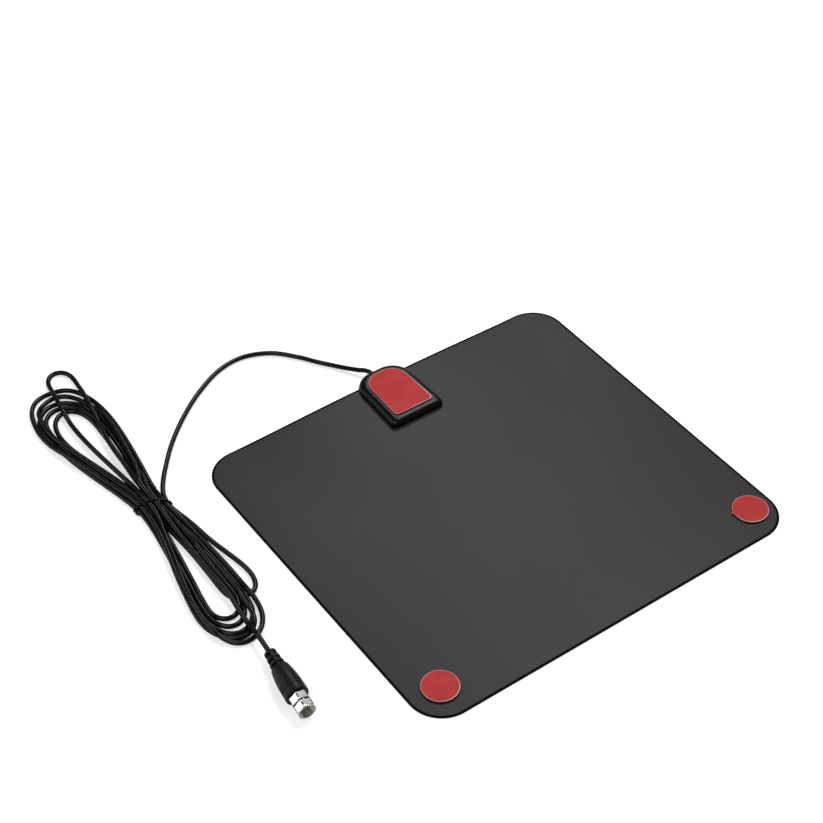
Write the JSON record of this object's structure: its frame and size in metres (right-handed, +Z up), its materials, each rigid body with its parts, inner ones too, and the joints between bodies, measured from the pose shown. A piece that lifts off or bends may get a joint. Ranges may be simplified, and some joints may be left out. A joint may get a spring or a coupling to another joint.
{
  "type": "indoor tv antenna",
  "caption": "Flat indoor TV antenna: thin dark sheet with a small housing, adhesive pads under red liners, and a tied coaxial lead with a screw-on F plug.",
  "frame": {"origin": "on the table, under the middle of the box round the sheet and housing", "axes": "+X along the sheet's width, +Y towards the edge with the housing, +Z up from the table to the adhesive side"},
  "size_m": [0.352, 0.401, 0.0148],
  "materials": {
    "film": "fine grained matt",
    "foil": "bright",
    "shell": "satin",
    "board": "satin",
    "ferrite": "matt",
    "copper": "bright",
    "chip": "matt",
    "rivet": "bright",
    "clamp": "tinned",
    "braid": "woven wire",
    "insulation": "satin",
    "foam": "closed-cell foam",
    "liner": "smooth, slightly glossy",
    "cord": "satin",
    "tie": "satin",
    "boot": "satin",
    "nickel": "bright nickel",
    "pin": "bright"
  },
  "bodies": {
    "antenna": {"front_film": "film", "antenna_foil": "foil", "rear_film": "film", "front_shell": "shell", "rear_shell": "shell", "circuit_board": "board", "balun_core": "ferrite", "balun_winding": "copper", "board_chips": "chip", "contact_rivets": "rivet", "cord_clamp": "clamp", "cord_jacket_end": "cord", "cord_braid_end": "braid", "cord_core_end": "insulation", "cord_wire_end": "copper", "housing_pad": "foam", "housing_liner": "liner", "left_pad": "foam", "left_liner": "liner", "right_pad": "foam", "right_liner": "liner", "cord_lead": "cord", "cord_hank": "cord", "cord_tail": "cord", "cord_tie": "tie", "plug_boot": "boot", "plug_body": "nickel", "plug_insulator": "insulation", "centre_pin": "pin"},
    "nut": {"coupling_nut": "nickel"}
  },
  "joints": [
    {"name": "nut_spin", "type": "hinge", "parent": "antenna", "child": "nut", "pos_m": [-0.19488, -0.07475, 0.0074], "axis": [-0.1132, -0.9936, 0], "continuous": true}
  ]
}
